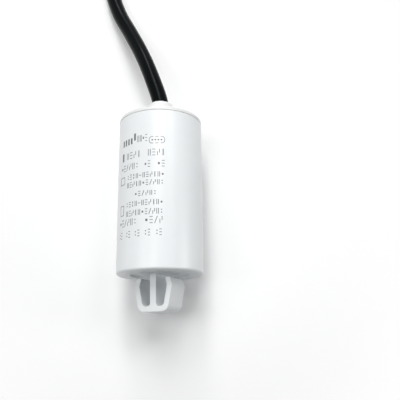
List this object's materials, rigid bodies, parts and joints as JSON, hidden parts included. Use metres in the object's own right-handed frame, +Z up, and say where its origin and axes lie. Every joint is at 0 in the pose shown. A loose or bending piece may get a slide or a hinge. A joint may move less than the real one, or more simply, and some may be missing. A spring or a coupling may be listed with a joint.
{
  "type": "motor run capacitor",
  "caption": "Motor run capacitor in a white plastic can that lies on its side, with a moulded snap-in clip at its foot and a black cable out of its lid.",
  "frame": {"origin": "middle of the seat face at the clip end, on the can's axis", "axes": "+Y along the can's axis from the clip end to the cable end, +Z up as the can lies on its side"},
  "size_m": [0.0676, 0.2141, 0.035],
  "materials": {
    "can_plastic": "satin",
    "lid_plastic": "satin",
    "resin": "glossy",
    "film": "glossy",
    "core_plastic": "matt",
    "sprayed_zinc": "rough",
    "brown_insulation": "satin",
    "blue_insulation": "satin",
    "copper_strand": "bright",
    "solder": "bright",
    "cable_jacket": "satin",
    "tinned_strand": "bright"
  },
  "bodies": {
    "root": {"case": "can_plastic", "lid": "lid_plastic", "resin_fill": "resin", "film_roll": "film", "core_tube": "core_plastic", "end_spray_top": "sprayed_zinc", "end_spray_bottom": "sprayed_zinc", "inner_wire_brown": "brown_insulation", "inner_wire_blue": "blue_insulation", "bare_end_brown": "copper_strand", "bare_end_blue": "copper_strand", "solder_top": "solder", "solder_bottom": "solder", "cable_sheath": "cable_jacket", "tail_wire_brown": "brown_insulation", "tail_wire_blue": "blue_insulation", "tinned_tip_brown": "tinned_strand", "tinned_tip_blue": "tinned_strand"}
  },
  "joints": []
}
